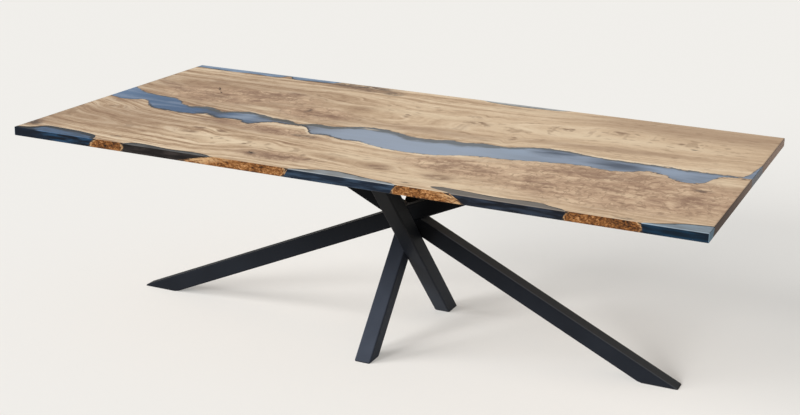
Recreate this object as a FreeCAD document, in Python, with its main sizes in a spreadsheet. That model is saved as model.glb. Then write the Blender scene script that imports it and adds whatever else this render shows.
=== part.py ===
import FreeCAD, Part
import math
import os

import Sketcher

# Live edge river table: two wood slabs cast into blue resin, on four crossing legs of square steel tube.
# X runs along the table, Y towards its rear edge, Z up; the origin is on the floor under the top's middle.
doc = FreeCAD.newDocument("live_edge_dining_table")
dims = doc.addObject("Spreadsheet::Sheet", "dims")

SIZES = (
    # cast top
    ("top_length", "2400"),
    ("top_width", "1220"),
    ("top_thickness", "30"),
    ("table_height", "750"),
    ("edge_ease", "1.5"),
    ("saw_allowance", "40"),
    # square leg tube
    ("tube_size", "60"),
    ("tube_wall", "3"),
    ("tube_radius", "6"),
    # long pair of legs: how far out their centre lines meet the floor and, past the crossing, the plates
    ("left_foot", "1006"),
    ("left_head", "588"),
    ("right_foot", "969"),
    ("right_head", "533"),
    # short pair of legs: outer edge of each foot, the plane where the two lie side by side,
    # and how deep the long pair is let into them
    ("rear_heel", "350"),
    ("front_heel", "315"),
    ("pair_offset", "28"),
    ("notch_depth", "9"),
    # plate on top of each leg
    ("plate_thickness", "6"),
    ("plate_lip", "8"),
    ("plate_radius", "10"),
    ("bolt_reach", "17"),
    ("bolt_edge", "18"),
    # foot of each leg
    ("cap_thickness", "4"),
    ("glide_thickness", "3"),
    ("glide_inset", "2"),
    # bolts, washers and threaded inserts
    ("bolt_shank", "8"),
    ("bolt_length", "25"),
    ("head_flats", "13"),
    ("head_height", "5.3"),
    ("plate_hole_play", "1"),
    ("washer_outer", "16"),
    ("washer_play", "0.4"),
    ("washer_thickness", "1.6"),
    ("insert_wall", "2"),
    ("insert_length", "20"),
    ("insert_play", "0.2"),
    ("insert_depth_spare", "2"),
)
for row, (alias, value) in enumerate(SIZES, 1):
    dims.set(f"A{row}", alias)
    dims.set(f"B{row}", value)
    dims.setAlias(f"B{row}", alias)
doc.recompute()


def number(expression):
    return float(dims.evalExpression(str(expression)))


# Levels up the table
underside = "(dims.table_height - dims.top_thickness)"
leg_top = f"({underside} - dims.plate_thickness)"
leg_bottom = "(dims.glide_thickness + dims.cap_thickness)"

# Bodies, sketches and sections


def origin_plane(body, role):
    return next(plane for plane in body.Origin.OriginFeatures if plane.Role == role)


def level_sketch(body, label, place):
    """A sketch lying level in a body, with its own origin at the place given."""
    sketch = body.newObject("Sketcher::SketchObject", label)
    sketch.AttachmentSupport = [(origin_plane(body, "XY_Plane"), "")]
    sketch.MapMode = "FlatFace"
    for axis, expression in zip("xyz", place):
        sketch.setExpression(f"AttachmentOffset.Base.{axis}", expression)
    return sketch


def size_constraint(sketch, kind, places, expression):
    index = sketch.addConstraint(Sketcher.Constraint(kind, *places, number(expression)))
    sketch.setExpression(f"Constraints[{index}]", expression)


def centred_rectangle(sketch, along_x, along_y):
    x = number(along_x) / 2
    y = number(along_y) / 2
    corners = [FreeCAD.Vector(*corner) for corner in ((-x, -y), (x, -y), (x, y), (-x, y))]
    first = sketch.GeometryCount
    for start, end in zip(corners, corners[1:] + corners[:1]):
        sketch.addGeometry(Part.LineSegment(start, end))
    lines = range(first, first + 4)
    for line, following in zip(lines, [*lines[1:], first]):
        sketch.addConstraint(Sketcher.Constraint("Coincident", line, 2, following, 1))
    for line, direction in zip(lines, ("Horizontal", "Vertical", "Horizontal", "Vertical")):
        sketch.addConstraint(Sketcher.Constraint(direction, line))
    sketch.addConstraint(Sketcher.Constraint("Symmetric", first, 1, first + 2, 1, -1, 1))
    size_constraint(sketch, "DistanceX", (first, 1, first, 2), along_x)
    size_constraint(sketch, "DistanceY", (first + 1, 1, first + 1, 2), along_y)


def circle_at(sketch, x, y, diameter):
    centre = FreeCAD.Vector(number(x), number(y))
    ring = sketch.addGeometry(Part.Circle(centre, FreeCAD.Vector(0, 0, 1), number(diameter) / 2))
    size_constraint(sketch, "DistanceX", (ring, 3), x)
    size_constraint(sketch, "DistanceY", (ring, 3), y)
    size_constraint(sketch, "Diameter", (ring,), diameter)


def pad(body, sketch, height):
    feature = body.newObject("PartDesign::Pad", sketch.Name + "_pad")
    feature.Profile = sketch
    feature.setExpression("Length", height)
    return feature


ALONG_ANGLE = 0.001


def runs_along(edge, direction):
    """Whether an edge is straight and lies in a direction, either way round."""
    if edge.Curve.TypeId != "Part::GeomLine":
        return False
    angle = edge.Curve.Direction.getAngle(direction)
    return min(angle, math.pi - angle) < ALONG_ANGLE


def round_edges(body, base, direction, radius):
    """Fillets the straight edges of a feature that run in one direction."""
    doc.recompute()
    edges = enumerate(base.Shape.Edges, 1)
    names = [f"Edge{index}" for index, edge in edges if runs_along(edge, direction)]
    fillet = body.newObject("PartDesign::Fillet", base.Name + "_round")
    fillet.Base = (base, names)
    fillet.setExpression("Radius", radius)
    return fillet


def boolean(kind, label, base, tool):
    feature = doc.addObject(f"Part::{kind}", label)
    feature.Base = base
    feature.Tool = tool
    return feature


def fuse(label, shapes):
    feature = doc.addObject("Part::MultiFuse", label)
    feature.Shapes = shapes
    return feature


# Top blank: the whole cast top, planed flat, sawn square and eased along every edge
blank_box = doc.addObject("Part::Box", "top_blank_box")
blank_box.setExpression("Length", "dims.top_length")
blank_box.setExpression("Width", "dims.top_width")
blank_box.setExpression("Height", "dims.top_thickness")
blank_box.setExpression("Placement.Base.x", "-dims.top_length / 2")
blank_box.setExpression("Placement.Base.y", "-dims.top_width / 2")
blank_box.setExpression("Placement.Base.z", underside)
doc.recompute()
blank = doc.addObject("Part::Chamfer", "top_blank")
blank.Base = blank_box
ease = number("dims.edge_ease")
blank.Edges = [(index, ease, ease) for index in range(1, len(blank_box.Shape.Edges) + 1)]


def slanted_region(label, upper_line, lower_line, far_side):
    """Everything from a slanting live edge out to a far side: a ruled loft of two outlines."""
    body = doc.addObject("PartDesign::Body", label)
    sketches = []
    for name, level, line in (
        ("upper", "dims.table_height", upper_line),
        ("lower", underside, lower_line),
    ):
        sketch = level_sketch(body, f"{label}_{name}_outline", ("0", "0", level))
        points = [FreeCAD.Vector(x, y) for x, y in line]
        edge = Part.BSplineCurve()
        edge.interpolate(points)
        end_corner = FreeCAD.Vector(points[-1].x, far_side)
        start_corner = FreeCAD.Vector(points[0].x, far_side)
        sketch.addGeometry(edge)
        sketch.addGeometry(Part.LineSegment(points[-1], end_corner))
        sketch.addGeometry(Part.LineSegment(end_corner, start_corner))
        sketch.addGeometry(Part.LineSegment(start_corner, points[0]))
        sketches.append(sketch)
    loft = body.newObject("PartDesign::AdditiveLoft", label + "_loft")
    loft.Profile = sketches[0]
    loft.Sections = sketches[1:]
    loft.Ruled = True
    return body


# River banks: x, y of the live edge on the top face, and how far its foot runs out under the resin
REAR_BANK = (
    (-1240, 150, 24), (-1184, 117, 24), (-1122, 70, 24), (-1071, 51, 26), (-1025, 45, 28),
    (-978, 43, 28), (-937, 22, 26), (-887, -27, 22), (-842, -43, 24), (-790, -20, 34), (-750, -33, 30),
    (-695, -53, 26), (-640, -21, 34), (-600, -15, 34), (-540, -30, 30), (-475, -52, 18),
    (-430, -51, 14), (-378, -82, 5), (-335, -57, 14), (-250, -53, 30), (-180, -14, 42),
    (-110, 4, 50), (-50, -5, 48), (20, -32, 44), (80, -47, 42), (140, -38, 44), (175, -21, 50),
    (230, -26, 46), (300, -4, 44), (365, -12, 40), (420, 10, 42), (475, 37, 44), (550, 45, 46),
    (620, 35, 40), (700, 16, 34), (800, 16, 30), (950, 14, 22), (1070, 14, 16), (1130, 16, 5),
    (1166, 22, 3), (1178, 42, 3), (1184, 90, 3), (1194, 165, 3), (1240, 300, 3),
)
FRONT_BANK = (
    (-1240, -24, 16), (-1187, -45, 16), (-1122, -64, 16), (-1075, -48, 15), (-1046, -38, 14),
    (-1015, -68, 16), (-990, -104, 16), (-962, -127, 16), (-915, -140, 18), (-850, -147, 18),
    (-780, -142, 18), (-735, -120, 14),
    (-700, -134, 14), (-670, -147, 16), (-620, -134, 16), (-580, -141, 16), (-540, -170, 18),
    (-505, -132, 12), (-450, -102, 8), (-400, -107, 5), (-350, -104, 5), (-310, -140, 12),
    (-275, -184, 18), (-220, -177, 20), (-150, -203, 22), (-110, -195, 20), (-40, -213, 22),
    (50, -238, 24), (150, -238, 24), (225, -219, 22), (290, -184, 20), (350, -169, 20),
    (420, -163, 20), (500, -141, 20), (600, -117, 18), (680, -106, 16), (770, -120, 16),
    (820, -104, 14), (880, -69, 12), (925, -73, 12), (965, -108, 14), (1020, -133, 16),
    (1062, -120, 12), (1085, -72, 8), (1107, -19, 4), (1140, 1, 3), (1172, 6, 3), (1240, 8, 3),
)


# The slabs run past both ends of the top by the saw allowance, and the whole drawing stretches to reach it
drawn_reach = REAR_BANK[-1][0]
stretch = (number("dims.top_length") / 2 + number("dims.saw_allowance")) / drawn_reach
half_width = number("dims.top_width") / 2
beyond = number("dims.top_thickness")


def bank_region(label, bank, side):
    upper = [(x * stretch, y * stretch) for x, y, run in bank]
    lower = [(x * stretch, (y - side * run) * stretch) for x, y, run in bank]
    return slanted_region(label, upper, lower, side * (half_width + beyond))


rear_bank = bank_region("rear_bank", REAR_BANK, 1)
front_bank = bank_region("front_bank", FRONT_BANK, -1)

# Edge pockets: hollows in the slabs' outer edges, filled with resin and sawn flush. Each has x and the
# depth in from the edge, then how far the hollow's two ends shift and how much of its depth is left below.
FRONT_POCKETS = {
    "front_left_corner_resin": (
        ((-1240, 24), (-1165, 26), (-1140, 42), (-1120, 65), (-1060, 70), (-1000, 66), (-930, 55),
         (-893, 40), (-878, 12), (-872, -30)),
        0, -24, 0.7),
    "front_dark_pocket_resin": (
        ((-758, -30), (-750, 8), (-735, 21), (-695, 28), (-640, 22), (-585, 15), (-520, 20), (-465, 18),
         (-432, 8), (-415, -30)),
        0, -130, 0.8),
    "front_middle_resin": (
        ((-155, -30), (-128, 6), (-75, 25), (-25, 46), (5, 50), (50, 45), (110, 31), (180, 19), (215, 13),
         (232, 1), (240, -30)),
        -18, -16, 0.7),
    "front_right_resin": (
        ((424, -30), (408, 4), (360, 22), (336, 38), (360, 50), (401, 50), (442, 46), (524, 36), (573, 35),
         (622, 40), (672, 43), (696, 40), (720, 28), (765, 13), (778, 1), (784, -30)),
        50, -12, 0.7),
    "front_right_corner_resin": (
        ((1000, -30), (1008, 4), (1040, 16), (1072, 32), (1100, 46), (1140, 59), (1200, 69), (1240, 72)),
        6, 0, 0.7),
}
REAR_POCKETS = {
    "rear_left_resin": (
        ((-1240, 44), (-1150, 43), (-1060, 50), (-1000, 47), (-920, 44), (-840, 50), (-800, 42), (-785, 16),
         (-772, 14), (-755, 38), (-735, 50), (-660, 45), (-600, 43), (-565, 28), (-548, 5), (-540, -30)),
        0, -20, 0.7),
    "rear_middle_resin": (
        ((45, -30), (70, 8), (130, 26), (230, 33), (320, 28), (390, 14), (412, -4), (420, -30)),
        12, -12, 0.7),
}


def pocket_region(label, pocket, side):
    line, left_shift, right_shift, depth_left = pocket
    first = line[0][0]
    span = line[-1][0] - first
    upper = []
    lower = []
    for x, depth in line:
        shift = left_shift + (right_shift - left_shift) * (x - first) / span
        deep = depth * depth_left if depth > 0 else depth
        upper.append((x * stretch, side * (half_width - depth * stretch)))
        lower.append(((x + shift) * stretch, side * (half_width - deep * stretch)))
    return slanted_region(label, upper, lower, side * (half_width + 2 * beyond))


def pocket_regions(pockets, side):
    return {label: pocket_region(label + "_hollow", pocket, side) for label, pocket in pockets.items()}


front_pockets = pocket_regions(FRONT_POCKETS, -1)
rear_pockets = pocket_regions(REAR_POCKETS, 1)

# Legs: each is a straight line from its foot, given as its run for every unit of rise
left_run = f"((dims.left_foot + dims.left_head) / {leg_top})"
right_run = f"((dims.right_foot + dims.right_head) / {leg_top})"


def lengthening(run):
    """How much longer a level cut across a slanting tube is than a square cut."""
    return f"sqrt(1 + {run} ^ 2)"


def seat_height(foot, run, inward):
    """Height of a long leg's lower face, where it crosses the outer side of a short leg."""
    return f"(({foot} - {inward}) / {run} - dims.tube_size / 2 * {lengthening(run)} / {run})"


seat_reach = "(dims.tube_size / 2 - dims.notch_depth)"
rear_seat = seat_height("dims.right_foot", right_run, "(dims.pair_offset + dims.tube_size)")
front_seat = seat_height("dims.left_foot", left_run, "(dims.tube_size - dims.pair_offset)")
rear_run = f"((dims.rear_heel + {seat_reach}) / {rear_seat})"
front_run = f"((dims.front_heel + {seat_reach}) / {front_seat})"


class Leg:
    def __init__(self, name, foot_x, foot_y, axis, sense, run):
        self.name = name
        self.foot = (foot_x, foot_y)
        self.axis = axis
        self.run = run
        self.runs = tuple(f"({sense} * {run})" if axis == which else "0" for which in "xy")
        self.cut_length = f"(dims.tube_size * {lengthening(run)})"

    def centre(self, level):
        """Where the leg's centre line passes a level."""
        return tuple(f"({foot} + {run} * {level})" for foot, run in zip(self.foot, self.runs))

    def sized(self, along, across):
        """Lengths along and across the leg, put in X and Y order."""
        return (along, across) if self.axis == "x" else (across, along)

    def direction(self):
        return FreeCAD.Vector(number(self.runs[0]), number(self.runs[1]), 1)

    def bar(self, label, low, high, inset, radius):
        """A length of bar along the leg between two levels, with level ends."""
        body = doc.addObject("PartDesign::Body", label)
        sketch = level_sketch(body, label + "_section", (*self.centre(low), low))
        width = f"(dims.tube_size - 2 * {inset})"
        centred_rectangle(sketch, *self.sized(f"{width} * {lengthening(self.run)}", width))
        slant = pad(body, sketch, f"{high} - {low}")
        slant.UseCustomVector = True
        slant.AlongSketchNormal = True
        slant.Direction = self.direction()
        for axis, run in zip("xy", self.runs):
            slant.setExpression(f"Direction.{axis}", run)
        round_edges(body, slant, self.direction(), radius)
        return body


left_leg = Leg("left_leg", "(-dims.left_foot)", "0", "x", 1, left_run)
right_leg = Leg("right_leg", "dims.right_foot", "0", "x", -1, right_run)
rear_foot_y = f"(dims.rear_heel - dims.tube_size / 2 * {lengthening(rear_run)})"
front_foot_y = f"(dims.tube_size / 2 * {lengthening(front_run)} - dims.front_heel)"
rear_leg = Leg("rear_leg", "(dims.pair_offset + dims.tube_size / 2)", rear_foot_y, "y", -1, rear_run)
front_leg = Leg("front_leg", "(dims.pair_offset - dims.tube_size / 2)", front_foot_y, "y", 1, front_run)
LEGS = (left_leg, right_leg, rear_leg, front_leg)

# Bore of the tube: its corners are tighter than the outer ones by the wall, and it runs out of the top
bore_radius = "max(dims.tube_radius - dims.tube_wall; dims.tube_wall / 4)"
past_leg_top = f"({leg_top} + dims.tube_wall)"
glide_radius = "max(dims.tube_radius - dims.glide_inset; dims.tube_wall / 4)"


def level_layer(label, low, thickness):
    """A level layer under the whole table."""
    layer = doc.addObject("Part::Box", label)
    layer.setExpression("Length", "dims.top_length")
    layer.setExpression("Width", "dims.top_width")
    layer.setExpression("Height", thickness)
    layer.setExpression("Placement.Base.x", "-dims.top_length / 2")
    layer.setExpression("Placement.Base.y", "-dims.top_width / 2")
    layer.setExpression("Placement.Base.z", low)
    return layer


glide_layer = level_layer("glide_layer", "0", "dims.glide_thickness")
cap_layer = level_layer("cap_layer", "dims.glide_thickness", "dims.cap_thickness")
foot_layer = level_layer("foot_layer", "0", leg_bottom)

# Feet: a steel cap closes each tube and a felt glide under it stands on the floor
nodes = []
bars = {}
tubes = {}
for leg in LEGS:
    bars[leg.name] = leg.bar(leg.name + "_bar", "0", leg_top, "0", "dims.tube_radius")
    bore = leg.bar(leg.name + "_bore", "0", past_leg_top, "dims.tube_wall", bore_radius)
    pipe = boolean("Cut", leg.name + "_pipe", bars[leg.name], bore)
    tubes[leg.name] = boolean("Cut", leg.name + "_tube", pipe, foot_layer)
    nodes.append(boolean("Common", leg.name + "_foot_cap", bars[leg.name], cap_layer))
    glide_bar = leg.bar(leg.name + "_glide_bar", "0", leg_top, "dims.glide_inset", glide_radius)
    nodes.append(boolean("Common", leg.name + "_foot_glide", glide_bar, glide_layer))

# Right leg in two lengths, mitred against the under and upper faces of the left leg, which runs through
left_angle = f"atan(1 / {left_run})"
cutter_reach = "(dims.left_foot + dims.right_foot)"
half_cut = f"(dims.tube_size / 2 * {lengthening(left_run)})"


def mitre_block(label, edge_x, drop):
    """A large block on one side of a plane that slants as the left leg does."""
    block = doc.addObject("Part::Box", label)
    block.setExpression("Length", f"2 * {cutter_reach}")
    block.setExpression("Width", "2 * dims.tube_size")
    block.setExpression("Height", cutter_reach)
    block.Placement = FreeCAD.Placement(FreeCAD.Vector(), FreeCAD.Rotation(FreeCAD.Vector(0, -1, 0), 1))
    block.setExpression("Placement.Rotation.Angle", left_angle)
    block.setExpression("Placement.Base.x", f"{edge_x} + {drop} * sin({left_angle})")
    block.setExpression("Placement.Base.y", "-dims.tube_size")
    block.setExpression("Placement.Base.z", f"-{drop} * cos({left_angle})")
    return block


above_left_leg = mitre_block("above_left_leg", f"({half_cut} - dims.left_foot)", "0")
below_left_leg = mitre_block("below_left_leg", f"(-{half_cut} - dims.left_foot)", cutter_reach)

# Rear and front legs are notched where the long pair is let into them
long_pair = fuse("long_pair", [bars["left_leg"], bars["right_leg"]])
nodes += [
    tubes["left_leg"],
    boolean("Cut", "right_leg_lower", tubes["right_leg"], above_left_leg),
    boolean("Cut", "right_leg_upper", tubes["right_leg"], below_left_leg),
    boolean("Cut", "rear_leg", tubes["rear_leg"], long_pair),
    boolean("Cut", "front_leg", tubes["front_leg"], long_pair),
]
tubes["left_leg"].Label = "left_leg"

# Top plates: welded on the upper end of each leg, with a bolt beside the tube at each corner
plate_hole = "(dims.bolt_shank + dims.plate_hole_play)"
pitch_across = "(dims.tube_size + 2 * dims.bolt_reach)"
seats = []
for leg in LEGS:
    plate = doc.addObject("PartDesign::Body", leg.name + "_top_plate")
    outline = level_sketch(plate, leg.name + "_plate_outline", (*leg.centre(leg_top), leg_top))
    plate_along = f"({leg.cut_length} + 2 * dims.plate_lip)"
    plate_across = f"({pitch_across} + 2 * dims.bolt_edge)"
    centred_rectangle(outline, *leg.sized(plate_along, plate_across))
    pitch_x, pitch_y = leg.sized(f"({plate_along} - 2 * dims.bolt_edge)", pitch_across)
    centre_x, centre_y = leg.centre(leg_top)
    for sign_x in (-1, 1):
        for sign_y in (-1, 1):
            bolt_x = f"{sign_x} * {pitch_x} / 2"
            bolt_y = f"{sign_y} * {pitch_y} / 2"
            circle_at(outline, bolt_x, bolt_y, plate_hole)
            seats.append((f"{centre_x} + {bolt_x}", f"{centre_y} + {bolt_y}"))
    sheet = pad(plate, outline, "dims.plate_thickness")
    round_edges(plate, sheet, FreeCAD.Vector(0, 0, 1), "dims.plate_radius")
    nodes.append(plate)

# Bolts, washers and threaded inserts, one of each modelled at the origin and then set at every seat
insert_outer = "(dims.bolt_shank + 2 * dims.insert_wall)"
insert_bore = "(dims.bolt_shank + dims.insert_play)"
insert_hole = f"({insert_outer} + dims.insert_play)"
bolt_entry = "(dims.bolt_length - dims.plate_thickness - dims.washer_thickness)"
hole_depth = f"(max(dims.insert_length; {bolt_entry}) + dims.insert_depth_spare)"


def cylinder(label, low, height, diameter):
    piece = doc.addObject("Part::Cylinder", label)
    piece.setExpression("Radius", f"{diameter} / 2")
    piece.setExpression("Height", height)
    piece.setExpression("Placement.Base.z", low)
    return piece


def sleeve(label, low, height, outer, bore):
    outside = cylinder(label + "_outside", low, height, outer)
    inside = cylinder(label + "_inside", low, height, bore)
    return boolean("Cut", label, outside, inside)


washer_base = f"({leg_top} - dims.washer_thickness)"
head = doc.addObject("Part::Prism", "bolt_head")
head.Polygon = 6
head.setExpression("Circumradius", "dims.head_flats / sqrt(3)")
head.setExpression("Height", "dims.head_height")
head.setExpression("Placement.Base.z", f"{washer_base} - dims.head_height")
shank = cylinder("bolt_shank", washer_base, "dims.bolt_length", "dims.bolt_shank")
bolt = boolean("Fuse", "bolt", head, shank)
washer_bore = "(dims.bolt_shank + dims.washer_play)"
washer = sleeve("washer", washer_base, "dims.washer_thickness", "dims.washer_outer", washer_bore)
insert = sleeve("insert", underside, "dims.insert_length", insert_outer, insert_bore)
# The drill starts below the underside, so that it breaks through that face
hole = cylinder("insert_hole", leg_top, f"dims.plate_thickness + {hole_depth}", insert_hole)
doc.recompute()


def at_seats(label, piece):
    """Copies of one piece at every bolt seat, as a group of separate solids."""
    copies = []
    for seat_x, seat_y in seats:
        copy = piece.Shape.copy()
        copy.translate(FreeCAD.Vector(number(seat_x), number(seat_y), 0))
        copies.append(copy)
    group = doc.addObject("Part::Feature", label)
    group.Shape = Part.makeCompound(copies)
    return group


nodes.append(at_seats("plate_bolts", bolt))
nodes.append(at_seats("plate_washers", washer))
nodes.append(at_seats("threaded_inserts", insert))
insert_holes = at_seats("insert_holes", hole)

# Top pieces: what each region takes of the blank, drilled from below for the inserts
all_front_hollows = fuse("front_hollows", list(front_pockets.values()))
all_rear_hollows = fuse("rear_hollows", list(rear_pockets.values()))
both_banks = fuse("both_banks", [front_bank, rear_bank])
for label, bank, hollows in (
    ("front_slab", front_bank, all_front_hollows),
    ("rear_slab", rear_bank, all_rear_hollows),
):
    slab = boolean("Common", label + "_sawn", blank, bank)
    hollowed = boolean("Cut", label + "_hollowed", slab, hollows)
    nodes.append(boolean("Cut", label, hollowed, insert_holes))
river = boolean("Cut", "river_cast", blank, both_banks)
nodes.append(boolean("Cut", "river_resin", river, insert_holes))
for label, hollow in (*front_pockets.items(), *rear_pockets.items()):
    nodes.append(boolean("Common", label, blank, hollow))

doc.recompute()
for piece in doc.Objects:
    if "Invalid" in piece.State or "Error" in piece.State:
        raise RuntimeError(f"{piece.Label} failed: {piece.State}")
for node in nodes:
    if node.Shape.isNull() or not node.Shape.isValid() or not node.Shape.Solids:
        raise RuntimeError(f"{node.Label} has no valid shape")

os.makedirs("parts", exist_ok=True)
for node in nodes:
    node.Shape.exportStep(f"parts/{node.Label}.step")
    print(node.Label, len(node.Shape.Solids), "solids", round(node.Shape.Volume / 1000, 1), "cm3")
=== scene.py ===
import math

import bmesh
import bpy
from mathutils import Matrix, Vector


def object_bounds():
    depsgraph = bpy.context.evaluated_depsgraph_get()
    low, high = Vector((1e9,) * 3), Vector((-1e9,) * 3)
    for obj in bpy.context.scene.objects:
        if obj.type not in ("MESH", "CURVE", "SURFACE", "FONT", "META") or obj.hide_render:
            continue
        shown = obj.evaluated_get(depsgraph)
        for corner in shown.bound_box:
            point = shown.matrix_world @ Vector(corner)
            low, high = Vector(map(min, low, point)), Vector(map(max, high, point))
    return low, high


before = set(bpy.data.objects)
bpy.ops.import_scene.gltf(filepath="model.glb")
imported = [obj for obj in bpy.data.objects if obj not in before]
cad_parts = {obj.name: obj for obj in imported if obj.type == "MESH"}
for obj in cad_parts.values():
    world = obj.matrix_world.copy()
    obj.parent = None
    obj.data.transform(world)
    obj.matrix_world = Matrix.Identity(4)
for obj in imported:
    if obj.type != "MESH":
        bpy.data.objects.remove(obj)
cad_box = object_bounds()
scene = bpy.context.scene

# Camera: a long lens in front of the table and to the right of it, looking down on the top.
# It rolls a little to one side, and nothing is shifted.
IMAGE_WIDTH = 800
FOCAL_PIXELS = 1429.7
camera_place = Vector((1.9231, -4.4390, 1.9820))
camera_turn = math.radians(23.556)
camera_dip = math.radians(17.298)
camera_roll = math.radians(1.696)
camera = bpy.data.objects.new("camera", bpy.data.cameras.new("camera"))
camera.data.sensor_fit = "HORIZONTAL"
camera.data.lens = camera.data.sensor_width * FOCAL_PIXELS / IMAGE_WIDTH
camera.matrix_world = (
    Matrix.Translation(camera_place)
    @ Matrix.Rotation(camera_turn, 4, "Z")
    @ Matrix.Rotation(math.pi / 2 - camera_dip, 4, "X")
    @ Matrix.Rotation(camera_roll, 4, "Z")
)
scene.collection.objects.link(camera)
scene.camera = camera


# Slabs: two boards sawn from one trunk, planed flat, with their waney edges turned in to the river.
# Pale walnut-like wood under a satin oil: streaks along the grain that part round the knots, brown clouds
# and bird's-eyes, and a paler rim of sapwood along the banks. Their outer edges are sawn through burr.
class Tone:
    """A socket on its way through a finish's nodes. Maths on it adds Math nodes."""

    def __init__(self, tree, socket):
        self.tree = tree
        self.socket = socket

    def node(self, kind, settings=None, inputs=None, output=0):
        """Adds a node: first its settings, then the values or links of its sockets."""
        added = self.tree.nodes.new("ShaderNode" + kind)
        for name, value in (settings or {}).items():
            if name == "stops":
                stops = added.color_ramp.elements
                while len(stops) < len(value):
                    stops.new(0.5)
                for stop, (position, color) in zip(stops, value):
                    stop.position = position
                    stop.color = (*color, 1)
            elif name == "points":
                curve = added.mapping.curves[0]
                while len(curve.points) < len(value):
                    curve.points.new(0.5, 0.5)
                for point, location in zip(curve.points, value):
                    point.location = location
                    point.handle_type = "AUTO_CLAMPED"
                added.mapping.update()
            else:
                setattr(added, name, value)
        for name, value in (inputs or {}).items():
            if isinstance(value, Tone):
                self.tree.links.new(value.socket, added.inputs[name])
            else:
                added.inputs[name].default_value = value
        return Tone(self.tree, added.outputs[output])

    def math(self, operation, *values):
        return self.node("Math", {"operation": operation}, dict(enumerate(values)))

    def __abs__(self):
        return self.math("ABSOLUTE", self)

    def __add__(self, other):
        return self.math("ADD", self, other)

    def __sub__(self, other):
        return self.math("SUBTRACT", self, other)

    def __mul__(self, other):
        return self.math("MULTIPLY", self, other)

    def __truediv__(self, other):
        return self.math("DIVIDE", self, other)

    def __pow__(self, other):
        return self.math("POWER", self, other)

    def __rsub__(self, other):
        return self.math("SUBTRACT", other, self)

    __radd__ = __add__
    __rmul__ = __mul__


def new_finish(name, **same_all_over):
    """A material, its shader with what is the same all over the surface, and the place on the surface."""
    material = bpy.data.materials.new(name)
    material.use_nodes = True
    shader = material.node_tree.nodes["Principled BSDF"]
    for socket, value in same_all_over.items():
        shader.inputs[socket.replace("_", " ").title().replace("Ior", "IOR")].default_value = value
    place = Tone(material.node_tree, None).node("TexCoord", output=3)
    return material, shader, place


def feed(shader, socket, tone):
    """Links what varies over the surface to a socket of its shader."""
    tone.tree.links.new(tone.socket, shader.inputs[socket])


def bump(height, strength, distance):
    """A normal that follows a height."""
    return height.node("Bump", None, {"Strength": strength, "Distance": distance, "Height": height})


def dress(material, *nodes):
    """Gives pieces of the frame a material in place of their plain one."""
    for node in nodes:
        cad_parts[node].material_slots[0].material = material


def axis(place, which):
    return place.node("SeparateXYZ", None, {0: place}, "XYZ".index(which))


def between(value, low, high):
    """0 up to low and 1 from high, or the other way round, eased at both ends."""
    return value.node(
        "MapRange",
        {"interpolation_type": "SMOOTHSTEP"},
        {"Value": value, "From Min": low, "From Max": high},
    )


def blend(factor, under, over):
    """One colour over another, by a factor from 0 to 1."""
    under, over = (color if isinstance(color, Tone) else (*color, 1) for color in (under, over))
    return factor.node("Mix", {"data_type": "RGBA"}, {0: factor, 6: under, 7: over}, 2)


def ramp(value, stops):
    """Colours set at stops along a value."""
    return value.node("ValToRGB", {"stops": stops}, {0: value})


def grain(place, lengths, detail=2.0, roughness=0.5, output=0):
    """Noise whose features have the lengths given along X, Y and Z."""
    scaled = place.node("VectorMath", {"operation": "DIVIDE"}, {0: place, 1: lengths})
    return scaled.node(
        "TexNoise",
        None,
        {"Vector": scaled, "Scale": 1, "Detail": detail, "Roughness": roughness},
        output,
    )


def strayed(place, lengths, reach, detail=2.0):
    """The place, led astray by noise, up to half the reach along each axis."""
    noise = grain(place, lengths, detail, output=1)
    centred = noise.node("VectorMath", {"operation": "SUBTRACT"}, {0: noise, 1: (0.5, 0.5, 0.5)})
    return centred.node("VectorMath", {"operation": "MULTIPLY_ADD"}, {0: centred, 1: reach, 2: place})


HALF_LENGTH, HALF_WIDTH, TOP_FACE = cad_box[1]
THICKNESS = 0.030
SKIN_INSIDE = 0.0028
SKIN_OUTSIDE = 0.0008


def at_face(value, face):
    """1 on the face that a value reaches there, and 0 from just inside it."""
    return between(value, face - SKIN_INSIDE, face - SKIN_OUTSIDE)


def patch(place, x, y, along, across, turn=0.0, core=0.2):
    """1 in the middle of an oval on the top, fading to 0 at its outline."""
    turned = place.node(
        "Mapping",
        {"vector_type": "TEXTURE"},
        {
            "Vector": place,
            "Location": (x, y, TOP_FACE),
            "Rotation": (0, 0, turn),
            "Scale": (along, across, 1),
        },
    )
    distance = turned.node("VectorMath", {"operation": "LENGTH"}, {0: turned}, 1)
    return between(distance, 1, core)


def patches(place, ovals, core=0.2):
    """1 in the middle of any of the ovals."""
    total = None
    for oval in ovals:
        one = patch(place, *oval, core=core)
        total = one if total is None else total.math("MAXIMUM", total, one)
    return total


LINE_STEP = 0.012
BANK_LIMIT = 0.35
RIM_MARGIN = 0.012
FLAT = 1e-5


def edge_line(node, side, rim):
    """Points of a slab's edge on the top face, at small steps along it: its river bank, or its outer rim."""
    least, most = (BANK_LIMIT, HALF_WIDTH - RIM_MARGIN) if rim else (0, BANK_LIMIT)
    found = {}
    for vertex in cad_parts[node].data.vertices:
        x, y, z = vertex.co
        if z > TOP_FACE - FLAT and least <= abs(y) < most:
            step = round(x / LINE_STEP)
            if step not in found or side * y > side * found[step][1]:
                found[step] = (x, y)
    return [found[step] for step in sorted(found)]


def line_y(x, line):
    """The y of a line over an x of the surface."""
    lefts, heights = zip(*line)
    left, right = lefts[0], lefts[-1]
    low, high = min(heights), max(heights)
    points = [((px - left) / (right - left), (py - low) / (high - low)) for px, py in line]
    curve = x.node("FloatCurve", {"points": points}, {1: (x - left) / (right - left)})
    return curve * (high - low) + low


COURSE_STEPS = 9
COURSE_REACH = 0.25


def mean_y(line, middle):
    """The mean y of a line's points near an x."""
    near = [y for x, y in line if abs(x - middle) < COURSE_REACH]
    return sum(near) / len(near)


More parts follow.
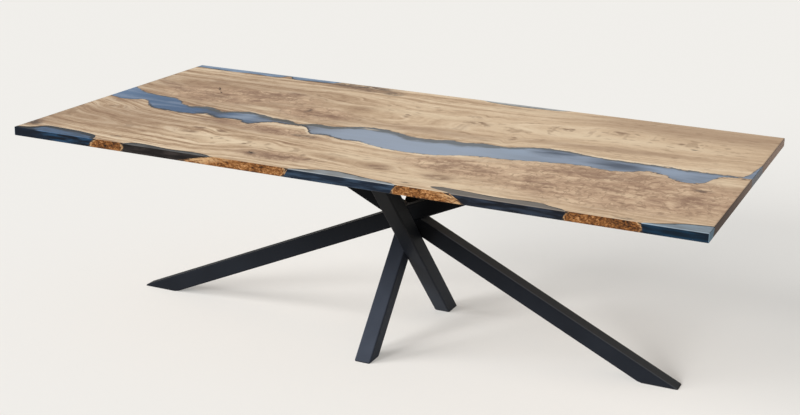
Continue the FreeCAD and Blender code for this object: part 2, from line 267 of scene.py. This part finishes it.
front_bank = edge_line("front_slab", 1, rim=False)
rear_bank = edge_line("rear_slab", -1, rim=False)
river_course = []
for step in range(COURSE_STEPS):
    at = HALF_LENGTH * (2 * step / (COURSE_STEPS - 1) - 1)
    river_course.append((at, (mean_y(front_bank, at) + mean_y(rear_bank, at)) / 2))


def tear(place):
    """How far the torn fibres of a waney edge reach out of its line, or fall short: more at the right."""
    reach = 0.040 + between(axis(place, "X"), 0.84, 0.94) * 0.050
    return (grain(place, (0.030, 0.017, 0.017), 4, 0.68) - 0.5) * reach


FIGURE_STOPS = (
    (0.39, (0.300, 0.188, 0.118)),
    (0.45, (0.470, 0.332, 0.218)),
    (0.51, (0.620, 0.472, 0.326)),
    (0.59, (0.760, 0.622, 0.462)),
)
MOTTLE_STOPS = (
    (0.41, (0.680, 0.515, 0.358)),
    (0.47, (0.550, 0.390, 0.268)),
    (0.53, (0.420, 0.278, 0.188)),
    (0.60, (0.275, 0.170, 0.116)),
)
BURR_STOPS = (
    (0.39, (0.016, 0.009, 0.006)),
    (0.47, (0.072, 0.028, 0.010)),
    (0.57, (0.150, 0.061, 0.018)),
    (0.69, (0.315, 0.168, 0.074)),
)
SHADE_BROWN = (0.290, 0.184, 0.122)
PALE_WOOD = (0.720, 0.585, 0.420)
TICK_BROWN = (0.225, 0.138, 0.086)
CURL_BROWN = (0.210, 0.126, 0.082)
CLOUD_BROWN = (0.235, 0.142, 0.098)
KNOT_BROWN = (0.215, 0.132, 0.086)
HEART_BROWN = (0.095, 0.070, 0.060)
EYE_BROWN = (0.180, 0.110, 0.070)
FILLER_BLACK = (0.020, 0.018, 0.012)
SAPWOOD = (0.770, 0.640, 0.475)
BARK_BROWN = (0.120, 0.082, 0.060)
TEAR_BLUE = (0.070, 0.085, 0.110)
STRAW = (0.360, 0.228, 0.118)
RIM_BLACK = (0.006, 0.008, 0.012)
ARRIS_BROWN = (0.090, 0.066, 0.052)
FRONT_END = (0.088, 0.067, 0.061)
REAR_END = (0.400, 0.295, 0.245)
SAP_FADE = 0.08
KNOT_PULL = 2.6


def slab_wood(
    name, side, bank_line, pith, depth, stripes, calm, sap, rims,
    knots, hearts, clouds, quilts, shades, pales, eyes, checks,
):
    """The wood of one slab, with side 1 behind the river and -1 in front of it.

    The pith lies at a depth under the top. Stripes are their share of the figure, and calm what it loses at
    the right. The sapwood is whole between two places. Rims are where burr ends on the sawn edge, with its
    lean and the width of its straw. The others are ovals: their middle, half sizes and turn.
    """
    wood, shader, place = new_finish(name, ior=1.5, specular_ior_level=0.2)
    x, y = axis(place, "X"), axis(place, "Y")
    inland = (y - line_y(x, bank_line)) * side + tear(place)
    # Growth rings about the pith: they follow the river's course near it and part round the knots
    wander = strayed(place, (0.8, 0.30, 0.30), (0, 0.10, 0.14))
    bend = (axis(wander, "Y") - y) * (1 + between(x, 0.2, -0.7) * 0.7)
    across = y + bend - line_y(x, river_course) * between(inland, 0.50, 0.0)
    for knot_x, knot_y, along, wide in knots:
        near = patch(place, knot_x, knot_y, along * KNOT_PULL, wide * KNOT_PULL, core=0)
        across = across - near * (y - knot_y) * 0.88
    out = across - line_y(x, pith)
    rise = axis(wander, "Z") - (TOP_FACE - depth)
    ring = (out * out + rise * rise) ** 0.5
    log = place.node("CombineXYZ", None, {"X": x, "Y": ring})
    growth = grain(log, (1.7, 0.055, 1), 3, 0.55)
    streaks = grain(log, (0.9, 0.016, 1), 4, 0.62)
    fibres = grain(log, (0.16, 0.0060, 1), 4, 0.65)
    curled = strayed(place, (0.055, 0.030, 0.030), (0.050, 0.035, 0.03), 3)
    quilt = grain(curled, (0.050, 0.020, 0.02), 6, 0.74)
    figure = growth * (0.58 - stripes) + streaks * stripes + fibres * 0.24 + quilt * 0.18
    contrast = 1 + between(x, -0.2, -0.9) * 0.6 - between(x, 0.1, 0.6) * calm
    color = ramp(0.5 + (figure - 0.5) * contrast, FIGURE_STOPS)
    # Broad shades and pale streaks
    ragged = strayed(place, (0.10, 0.035, 0.035), (0.07, 0.04, 0.04), 4)
    color = blend(patches(ragged, shades) * 0.52, color, SHADE_BROWN)
    color = blend(patches(ragged, pales) * 0.55, color, PALE_WOOD)
    # Short dark ticks, and a quilted figure with curling lines
    ticks = between(grain(log, (0.060, 0.009, 1), 2), 0.58, 0.68)
    color = blend(ticks * 0.42, color, TICK_BROWN)
    coiled = strayed(place, (0.045, 0.060, 0.05), (0.070, 0.110, 0.05), 2)
    winding = grain(coiled, (0.048, 0.056, 0.05), 2) - 0.5
    curls = between(abs(winding), 0.045, 0.012)
    blotches = grain(curled, (0.120, 0.058, 0.05), 5, 0.72) * 0.64 + quilt * 0.36
    quilted = patches(ragged, quilts, 0.5)
    color = blend(quilted * 0.80, color, ramp(blotches, MOTTLE_STOPS))
    color = blend((quilted * 0.40 + 0.05) * curls, color, CURL_BROWN)
    # Brown clouds, feathered at their edges
    feather = between(quilt, 0.36, 0.56)
    color = blend(patches(ragged, clouds) * feather * 0.72, color, CLOUD_BROWN)
    # Knots: broken rings, some with a dark heart
    close = strayed(place, (0.03, 0.015, 0.015), (0.025, 0.015, 0.01), 3)
    contour = grain(curled, (0.050, 0.022, 0.022), 3, 0.6) - 0.5
    color = blend(patches(close, knots) * between(contour, -0.12, 0.10) * 0.80, color, KNOT_BROWN)
    color = blend(patches(close, hearts) * feather * 0.85, color, HEART_BROWN)
    # Bird's-eyes
    spots = place.node("VectorMath", {"operation": "DIVIDE"}, {0: curled, 1: (0.044, 0.034, 0.034)})
    eye = spots.node("TexVoronoi", None, {"Vector": spots, "Scale": 1})
    color = blend(patches(ragged, eyes) * between(eye, 0.32, 0.18) * 0.65, color, EYE_BROWN)
    # Checks: fine cracks filled black
    for check in checks:
        color = blend(patch(close, *check, core=0.5), color, FILLER_BLACK)
    # The waney edge: a pale rim where the sapwood is whole, bark elsewhere, and resin in its tears
    whole = between(x, sap[0], sap[0] + SAP_FADE) * between(x, sap[1], sap[1] - SAP_FADE)
    broken = grain(place, (0.13, 0.13, 1), 3, 0.6)
    pale_rim = between(inland, 0.023, 0.010) * whole * between(broken, 0.60, 0.44)
    color = blend(pale_rim * 0.80, color, SAPWOOD)
    bark = between(broken, 0.42, 0.56) * (1 - whole)
    color = blend(between(inland, 0.010, 0.001) * bark * 0.75, color, BARK_BROWN)
    color = blend(between(inland, 0.0015, -0.0015) * 0.85, color, TEAR_BLUE)
    # Burr on the sawn outer edge, paler in the middle of the table, with straw and a dark line at its rims
    sawn = at_face(y * side, HALF_WIDTH)
    curl = strayed(place, (0.022, 0.022, 0.014), (0.026, 0.026, 0.022), 3)
    burr = grain(curl, (0.0095, 0.0095, 0.0055), 5, 0.75) + (grain(place, (0.05, 1, 0.03), 2) - 0.5) * 0.34
    burr = burr + between(x, -0.62, -0.30) * between(x, 0.62, 0.30) * 0.045
    burr_color = ramp(burr, BURR_STOPS)
    strands = between(grain(curl, (0.030, 1, 0.0045), 3, 0.6), 0.36, 0.60) * 0.85
    below = (TOP_FACE - axis(place, "Z")) / THICKNESS
    for rim_x, lean, straw in rims:
        beside = abs(x - rim_x - below * lean + (burr - 0.5) * 0.02) - (below - 0.5) ** 2 * 0.040
        burr_color = blend(between(beside, straw, straw * 0.3) * strands, burr_color, STRAW)
        burr_color = blend(between(beside, 0.003, -0.001) * 0.9, burr_color, RIM_BLACK)
    color = blend(sawn, color, burr_color)
    # End grain darkens with oil and painted shade, most of all at the front, and the oil darkens the arris
    # too
    out_along = abs(x)
    color = blend(between(out_along, HALF_LENGTH - 0.007, HALF_LENGTH - 0.001) * 0.45, color, ARRIS_BROWN)
    end = at_face(out_along, HALF_LENGTH)
    # Painted shade: the end faces are darker than the oil alone makes them
    oiled_and_shaded_end = blend(between(y, -HALF_WIDTH, HALF_WIDTH), FRONT_END, REAR_END)
    feed(shader, "Base Color", blend(end * 0.90, color, oiled_and_shaded_end))
    feed(shader, "Roughness", 0.42 + fibres * 0.2 + sawn.math("MAXIMUM", sawn, end) * 0.4)
    feed(shader, "Normal", bump(fibres, 0.25, 0.0004))
    return wood


front_wood = slab_wood(
    "front_slab_wood",
    side=-1,
    bank_line=front_bank,
    pith=((-1.21, -0.30), (-0.60, -0.38), (-0.20, -0.34), (0.30, -0.36), (1.21, -0.37)),
    depth=0.09,
    stripes=0.32,
    calm=0.0,
    sap=(-0.40, 0.62),
    rims=(
        (-0.872, -0.024, 0.009),
        (-0.757, 0.0, 0.009),
        (-0.418, -0.120, 0.110),
        (-0.140, -0.012, 0.009),
        (0.232, -0.014, 0.006),
        (0.402, 0.062, 0.060),
        (0.778, -0.010, 0.005),
        (1.004, 0.006, 0.009),
    ),
    knots=(
        (-1.085, -0.180, 0.045, 0.020),
        (-0.650, -0.300, 0.042, 0.026),
        (-0.655, -0.358, 0.050, 0.032),
        (-0.560, -0.302, 0.036, 0.028),
        (-0.440, -0.338, 0.042, 0.024),
        (-0.330, -0.505, 0.045, 0.035),
        (-0.230, -0.510, 0.060, 0.034),
        (-0.270, -0.222, 0.080, 0.028),
        (0.320, -0.465, 0.065, 0.040),
        (0.110, -0.455, 0.060, 0.034),
    ),
    hearts=(
        (-0.330, -0.500, 0.026, 0.020),
        (-0.280, -0.222, 0.070, 0.026),
        (-1.185, -0.530, 0.050, 0.065),
        (1.090, -0.205, 0.045, 0.026),
        (0.250, -0.570, 0.025, 0.010),
        (-0.830, -0.540, 0.030, 0.014),
        (0.950, -0.590, 0.040, 0.014),
    ),
    clouds=(
        (-1.10, -0.08, 0.12, 0.05, 0.2),
        (-0.43, -0.21, 0.13, 0.05, -0.25),
        (-0.66, -0.19, 0.15, 0.04),
        (-0.25, -0.51, 0.14, 0.05),
        (-1.19, -0.51, 0.05, 0.07),
        (0.10, -0.45, 0.09, 0.05),
        (0.32, -0.46, 0.09, 0.05),
        (0.30, -0.30, 0.08, 0.07),
        (0.62, -0.37, 0.09, 0.03),
        (0.75, -0.20, 0.20, 0.06),
        (1.10, -0.33, 0.10, 0.10),
    ),
    quilts=(
        (0.84, -0.31, 0.62, 0.30),
        (0.36, -0.32, 0.32, 0.13),
        (-0.42, -0.20, 0.30, 0.06, -0.15),
        (-0.25, -0.50, 0.18, 0.06),
    ),
    shades=(
        (1.00, -0.28, 0.50, 0.28),
        (-0.50, -0.22, 0.40, 0.08),
        (-1.00, -0.30, 0.45, 0.30),
        (-1.15, -0.47, 0.16, 0.12),
    ),
    pales=(
        (0.13, -0.30, 0.16, 0.035),
        (-0.45, -0.41, 0.40, 0.05),
        (0.00, -0.38, 0.20, 0.06),
        (0.35, -0.53, 0.45, 0.035),
        (0.52, -0.29, 0.12, 0.03),
        (0.85, -0.35, 0.12, 0.025),
        (-0.38, -0.14, 0.14, 0.03),
        (1.12, -0.08, 0.10, 0.06),
    ),
    eyes=((-0.45, -0.41, 0.26, 0.08), (-0.16, -0.47, 0.16, 0.07), (0.80, -0.40, 0.42, 0.18)),
    checks=((-0.335, -0.498, 0.018, 0.003, -0.6),),
)
dress(front_wood, "front_slab")
rear_wood = slab_wood(
    "rear_slab_wood",
    side=1,
    bank_line=rear_bank,
    pith=((-1.21, 0.31), (-0.40, 0.29), (0.20, 0.27), (0.65, 0.35), (1.21, 0.37)),
    depth=0.14,
    stripes=0.20,
    calm=0.34,
    sap=(0.36, 1.30),
    rims=((-0.545, -0.020, 0.009), (0.060, 0.010, 0.009), (0.412, -0.012, 0.009)),
    knots=(
        (-0.850, 0.170, 0.050, 0.045),
        (-0.440, 0.105, 0.030, 0.050),
        (0.170, 0.255, 0.075, 0.035),
        (0.490, 0.325, 0.055, 0.026),
        (0.655, 0.370, 0.065, 0.045),
        (0.358, 0.115, 0.016, 0.050),
        (-0.590, 0.330, 0.045, 0.026),
        (-0.090, 0.220, 0.018, 0.030),
    ),
    hearts=(
        (-0.440, 0.115, 0.012, 0.035),
        (0.950, 0.278, 0.018, 0.010),
        (-0.530, 0.590, 0.080, 0.060),
        (-0.410, 0.570, 0.170, 0.075),
        (-0.280, 0.530, 0.060, 0.045),
    ),
    clouds=(
        (-0.83, 0.14, 0.13, 0.06, -0.3),
        (-1.08, 0.22, 0.18, 0.04, -0.6),
        (-0.95, 0.36, 0.06, 0.05),
        (-0.60, 0.33, 0.06, 0.035),
        (-0.67, 0.26, 0.20, 0.10),
        (-0.69, 0.15, 0.025, 0.05),
        (-0.35, 0.07, 0.12, 0.06),
        (-0.42, 0.56, 0.20, 0.10),
    ),
    quilts=(
        (-0.86, 0.17, 0.30, 0.16),
        (-0.66, 0.24, 0.26, 0.12),
        (-0.40, 0.09, 0.20, 0.13),
    ),
    shades=(
        (-0.90, 0.20, 0.80, 0.48),
        (0.95, 0.52, 0.75, 0.17),
        (-0.35, 0.06, 0.30, 0.12),
        (0.05, 0.06, 0.40, 0.07),
        (0.70, 0.14, 0.50, 0.05, 0.09),
    ),
    pales=(
        (0.30, 0.525, 0.40, 0.035, 0.10),
        (0.65, 0.27, 0.60, 0.07, 0.05),
        (-0.05, 0.28, 0.35, 0.06),
        (-0.60, 0.06, 0.10, 0.03),
    ),
    eyes=(
        (0.18, 0.255, 0.13, 0.06),
        (0.50, 0.325, 0.14, 0.06),
        (0.67, 0.375, 0.12, 0.06),
        (0.95, 0.33, 0.26, 0.06),
        (-0.07, 0.24, 0.10, 0.05),
    ),
    checks=((-0.905, 0.262, 0.034, 0.0035, -0.98), (-0.868, 0.210, 0.022, 0.003, -0.90)),
)
dress(rear_wood, "rear_slab")


# River: resin poured between the slabs and cast up against their waney edges, then sanded flush with them.
# Milky blue with pearl in it, deeper at the left, and darkened where the rear bank runs out under it.
def feed_resin(shader, place, top_color, side_color, oiled_and_shaded_end, roughness):
    """The cut sides look in through the resin's depth, so they are darker than its top. Its ends are matt."""
    end = at_face(abs(axis(place, "X")), HALF_LENGTH)
    side_color = blend(end, side_color, oiled_and_shaded_end)
    feed(shader, "Base Color", blend(at_face(axis(place, "Z"), TOP_FACE), side_color, top_color))
    feed(shader, "Roughness", end * 0.5 + roughness)


POUR_STOPS = (
    (0.00, (0.100, 0.180, 0.320)),
    (0.06, (0.062, 0.130, 0.252)),
    (0.18, (0.052, 0.110, 0.225)),
    (0.27, (0.085, 0.135, 0.220)),
    (0.335, (0.085, 0.074, 0.072)),
    (0.385, (0.222, 0.262, 0.335)),
    (0.43, (0.272, 0.328, 0.424)),
    (0.61, (0.292, 0.352, 0.456)),
    (0.67, (0.258, 0.318, 0.412)),
    (0.73, (0.214, 0.264, 0.353)),
    (1.00, (0.165, 0.215, 0.300)),
)
MILK_BLUE = (0.300, 0.370, 0.500)
PEARL_BLUE = (0.276, 0.350, 0.470)
DEEP_BLUE = (0.045, 0.066, 0.110)
LEDGE_GREY = (0.070, 0.072, 0.066)
LOOSE_WOOD = (0.460, 0.400, 0.330)
BARK_BLACK = (0.018, 0.024, 0.036)
FIBRE_SHADE = (0.060, 0.052, 0.048)
FIBRE_BROWN = (0.400, 0.285, 0.190)
RIVER_SIDE = (0.006, 0.012, 0.024)
RIVER_END = (0.227, 0.231, 0.250)
PEARL_POOLS = ((-0.60, -0.085, 0.07, 0.06), (0.42, -0.04, 0.08, 0.06), (0.94, -0.04, 0.12, 0.06))
DEEP_PLACES = ((-0.73, -0.10, 0.07, 0.08), (0.56, 0.01, 0.13, 0.075), (0.78, -0.045, 0.14, 0.085))
LEDGE_WIDTHS = (
    (-1.20, 0.003),
    (-0.90, 0.005),
    (-0.82, 0.024),
    (-0.50, 0.028),
    (-0.25, 0.034),
    (-0.05, 0.038),
    (0.28, 0.050),
    (0.36, 0.026),
    (0.60, 0.018),
    (1.20, 0.010),
)
river, shader, place = new_finish("river_resin", ior=1.5, specular_ior_level=0.25)
x, y = axis(place, "X"), axis(place, "Y")
drift = grain(place, (0.14, 0.07, 0.07), 3) - 0.5
color = ramp((x + HALF_LENGTH) / (2 * HALF_LENGTH) + drift * 0.05, POUR_STOPS)
# Milky wisps, drawn out along the pour, pools of pearl and deep places
swirl = grain(strayed(place, (0.30, 0.10, 0.1), (0.25, 0.10, 0.1)), (0.22, 0.040, 0.05), 4, 0.6)
ragged = strayed(place, (0.12, 0.05, 0.05), (0.12, 0.06, 0.03), 4)
color = blend(between(swirl, 0.42, 0.66) * 0.40, color, MILK_BLUE)
color = blend(patches(ragged, PEARL_POOLS) * 0.70, color, PEARL_BLUE)
color = blend(patches(ragged, DEEP_PLACES) * between(swirl, 0.80, 0.42) * 0.90, color, DEEP_BLUE)
# The rear bank runs out under the resin, by more in the middle of the table
rear_reach = y - line_y(x, rear_bank)
front_reach = line_y(x, front_bank) - y
lumpy = (grain(place, (0.06, 0.035, 0.03), 4, 0.6) - 0.5) * 0.06
ledge = between((rear_reach + lumpy) / line_y(x, LEDGE_WIDTHS), -1.35, -0.70)
color = blend(ledge * (0.80 - between(x, -0.2, 0.2) * 0.08), color, LEDGE_GREY)
color = blend(patch(ragged, -0.11, -0.022, 0.050, 0.014), color, LOOSE_WOOD)
# Dark bark along the front bank at the left, and fibres torn out of both banks
bark = between(x, -1.03, -0.98) * between(x, -0.05, -0.12) * 0.85
color = blend(between(front_reach + tear(place), -0.018, -0.006) * bark, color, BARK_BLACK)
fibres = front_reach.math("MAXIMUM", front_reach, rear_reach) + tear(place)
color = blend(between(fibres, -0.006, -0.001) * 0.55, color, FIBRE_SHADE)
color = blend(between(fibres, -0.0010, 0.0015), color, FIBRE_BROWN)
feed_resin(shader, place, color, RIVER_SIDE, RIVER_END, roughness=0.30)
dress(river, "river_resin")


# Pockets: the same resin, poured into the hollows of the slabs' outer edges and sawn flush with them.
# Their tops are milky but for a dark rim where the wood slopes away under them. Their cut sides show the
# depth of the resin as a dark navy, and as a brown black in the darkest one.
front_edge = (-1, edge_line("front_slab", 1, rim=True))
rear_edge = (1, edge_line("rear_slab", -1, rim=True))
NAVY = (0.0030, 0.0050, 0.0095)
NAVY_GLOW = (0.005, 0.020, 0.050)
SHORE_GREY = (0.022, 0.025, 0.029)
POCKET_END = (0.147, 0.226, 0.294)


def pocket_resin(node, edge, top, low_top, rim_width, ink=NAVY, glow=NAVY_GLOW, black_end=None):
    """One casting: its top and its sides, each clouded between two colours, and a black end at the left."""
    side, rim = edge
    resin, shader, place = new_finish(node + "_cast", ior=1.5, specular_ior_level=0.12)
    x = axis(place, "X")
    clouding = grain(place, (0.09, 0.03, 0.012), 4, 0.6)
    milk = blend(between(clouding, 0.34, 0.62), low_top, top)
    shore = (axis(place, "Y") - line_y(x, rim)) * side + (clouding - 0.5) * 0.03
    milk = blend(between(shore, rim_width * 1.5, rim_width * 0.8) * 0.9, milk, SHORE_GREY)
    deep = blend(between(clouding, 0.40, 0.66), ink, glow)
    if black_end is not None:
        ending = x + (clouding - 0.5) * 0.10
        milk = blend(between(ending, black_end + 0.03, black_end - 0.01) * 0.9, milk, NAVY)
        deep = blend(between(ending, black_end + 0.12, black_end + 0.02) * 0.9, deep, NAVY)
    feed_resin(shader, place, milk, deep, POCKET_END, roughness=0.28)
    dress(resin, node)


pocket_resin(
    "front_left_corner_resin",
    front_edge,
    top=(0.070, 0.125, 0.222),
    low_top=(0.040, 0.066, 0.108),
    rim_width=0.022,
    glow=(0.009, 0.030, 0.064),
    black_end=-1.13,
)
pocket_resin(
    "front_dark_pocket_resin",
    front_edge,
    top=(0.085, 0.086, 0.088),
    low_top=(0.040, 0.040, 0.042),
    rim_width=0.010,
    ink=(0.006, 0.005, 0.005),
    glow=(0.022, 0.018, 0.017),
)
pocket_resin(
    "front_middle_resin",
    front_edge,
    top=(0.255, 0.280, 0.305),
    low_top=(0.190, 0.196, 0.200),
    rim_width=0.005,
    ink=(0.005, 0.009, 0.017),
    glow=(0.018, 0.032, 0.055),
)
pocket_resin(
    "front_right_resin",
    front_edge,
    top=(0.162, 0.145, 0.132),
    low_top=(0.138, 0.122, 0.108),
    rim_width=0.003,
    ink=(0.004, 0.005, 0.008),
    glow=(0.014, 0.020, 0.033),
)
pocket_resin(
    "front_right_corner_resin",
    front_edge,
    top=(0.205, 0.265, 0.325),
    low_top=(0.150, 0.182, 0.218),
    rim_width=0.008,
    ink=(0.002, 0.006, 0.012),
    glow=(0.004, 0.018, 0.038),
)
pocket_resin(
    "rear_left_resin",
    rear_edge,
    top=(0.230, 0.325, 0.470),
    low_top=(0.130, 0.190, 0.290),
    rim_width=0.005,
)
pocket_resin(
    "rear_middle_resin",
    rear_edge,
    top=(0.420, 0.440, 0.450),
    low_top=(0.300, 0.315, 0.330),
    rim_width=0.005,
)


# Legs: square steel tube, cut at the crossing and welded, then ground flush and powder coated black.
# The top plates and foot caps are coated with them. Dust and a painted blue sheen grey the coat towards
# the floor, most of all on the front leg, and a painted sheen lightens the upper face of the right leg.
TUBE = 0.060
LEG_TOP = 0.714
RIGHT_FOOT = 0.969
RIGHT_HEAD = 0.533
RIGHT_RUN = (RIGHT_FOOT + RIGHT_HEAD) / LEG_TOP
COAT_BLACK = (0.0024, 0.0027, 0.0033)
DUST_AND_SHEEN_BLUE = (0.060, 0.072, 0.100)
UPPER_SHEEN_GREY = (0.105, 0.112, 0.122)


def powder_coat(name, low_dust_and_sheen, painted_sheen=0.0):
    """A coat: dust and painted sheen towards the floor, and painted sheen on the right leg's upper face."""
    coat, shader, place = new_finish(name, ior=1.5, specular_ior_level=0.06)
    z = axis(place, "Z")
    peel = grain(place, (0.0016, 0.0016, 0.0016), 2)
    mist = grain(place, (0.12, 0.12, 0.12), 3)
    # Dust and a painted blue sheen, lightening the coat towards the floor
    dust_and_sheen = between(z, 0.56, 0.02) * (mist * 0.6 + 0.7) * low_dust_and_sheen
    color = blend(dust_and_sheen, COAT_BLACK, DUST_AND_SHEEN_BLUE)
    # Painted sheen: a lighter grey on the right leg's upper face, standing in for the light it catches
    if painted_sheen:
        above_axis = (axis(place, "X") - RIGHT_FOOT + z * RIGHT_RUN) / math.hypot(1, RIGHT_RUN)
        color = blend(at_face(above_axis, TUBE / 2) * painted_sheen, color, UPPER_SHEEN_GREY)
    feed(shader, "Base Color", color)
    feed(shader, "Roughness", 0.42 + mist * 0.12 + peel * 0.06)
    feed(shader, "Normal", bump(peel, 0.3, 0.0002))
    return coat


coats = {
    "left_leg": powder_coat("left_leg_coat", low_dust_and_sheen=0.12),
    "right_leg": powder_coat("right_leg_coat", low_dust_and_sheen=0.14, painted_sheen=0.48),
    "rear_leg": powder_coat("rear_leg_coat", low_dust_and_sheen=0.30),
    "front_leg": powder_coat("front_leg_coat", low_dust_and_sheen=0.52),
}
for leg, coat in coats.items():
    dress(coats["left_leg"], leg + "_top_plate")
    dress(coat, leg + "_foot_cap")
    dress(coat, *((leg + "_lower", leg + "_upper") if leg == "right_leg" else (leg,)))


# Bolts, washers and inserts: zinc plated bolts, screwed up through the plates into turned brass inserts.
# The plating is a cool grey with a cloudy sheen, and the brass shows fine turning marks.
zinc, shader, place = new_finish("zinc_plate", metallic=1.0)
cloudy = grain(place, (0.006, 0.006, 0.006), 3)
feed(shader, "Base Color", blend(cloudy, (0.46, 0.47, 0.48), (0.60, 0.61, 0.62)))
feed(shader, "Roughness", 0.28 + cloudy * 0.2)
dress(zinc, "plate_bolts", "plate_washers")
brass, shader, place = new_finish("turned_brass", metallic=1.0)
turning = grain(place, (0.02, 0.02, 0.0004), 2)
feed(shader, "Base Color", blend(turning, (0.55, 0.36, 0.12), (0.72, 0.52, 0.22)))
feed(shader, "Roughness", 0.25 + turning * 0.2)
dress(brass, "threaded_inserts")


# Glides: pads of pressed felt, dyed black and cut to the shape of the feet.
# They are glued under the foot caps to spare the floor.
felt, shader, place = new_finish("black_felt", roughness=0.95)
wool = grain(place, (0.0012, 0.0012, 0.0012), 3, 0.7)
feed(shader, "Base Color", blend(wool, (0.008, 0.008, 0.009), (0.026, 0.026, 0.028)))
feed(shader, "Normal", bump(wool, 0.6, 0.0006))
for leg in coats:
    dress(felt, leg + "_foot_glide")


# Studio: a plain pale floor that runs out of sight under an even sky, with a glow that lifts its shadows.
# Two wide lights stand in front, to the left of the table. The lower one draws its shadow out behind it,
# and neither shows in the gloss of the top.
PALE = (0.863, 0.847, 0.815)
FLOOR_REACH = 60
SKY_LIGHT = 0.40
SIDE_LIGHT = 0.50
LOW_LIGHT = 0.36
FLOOR_WHITE = 0.52
FLOOR_SEEN = 1.015
floor_glow = FLOOR_SEEN - FLOOR_WHITE * (SKY_LIGHT + SIDE_LIGHT + LOW_LIGHT)
mesh = bmesh.new()
bmesh.ops.create_grid(mesh, x_segments=2, y_segments=2, size=FLOOR_REACH)
floor = bpy.data.objects.new("floor", bpy.data.meshes.new("floor"))
mesh.to_mesh(floor.data)
mesh.free()
scene.collection.objects.link(floor)
paint, shader, place = new_finish(
    "floor_paint",
    base_color=(FLOOR_WHITE, FLOOR_WHITE, FLOOR_WHITE, 1),
    roughness=1.0,
    specular_ior_level=0.0,
    emission_color=(*(floor_glow * part for part in PALE), 1),
    emission_strength=1.0,
)
floor.data.materials.append(paint)

world = bpy.data.worlds.new("studio")
scene.world = world
world.use_nodes = True
sky = world.node_tree.nodes["Background"]
sky.inputs["Color"].default_value = (*PALE, 1)
seen = Tone(world.node_tree, None).node("LightPath")
feed(sky, "Strength", seen * (1 - SKY_LIGHT) + SKY_LIGHT)


def wide_light(name, azimuth, elevation, width, share):
    """A light from far away that gives the floor its share of the light and leaves no glare."""
    sun = bpy.data.objects.new(name, bpy.data.lights.new(name, "SUN"))
    sun.data.angle = math.radians(width)
    sun.data.color = PALE
    sun.data.energy = math.pi * share / math.sin(math.radians(elevation))
    sun.visible_glossy = False
    sun.rotation_euler = (math.radians(90 - elevation), 0, math.radians(azimuth))
    scene.collection.objects.link(sun)


wide_light("side_light", azimuth=-60, elevation=21, width=30, share=SIDE_LIGHT)
wide_light("low_light", azimuth=-25, elevation=18, width=18, share=LOW_LIGHT)
scene.view_settings.view_transform = "Standard"
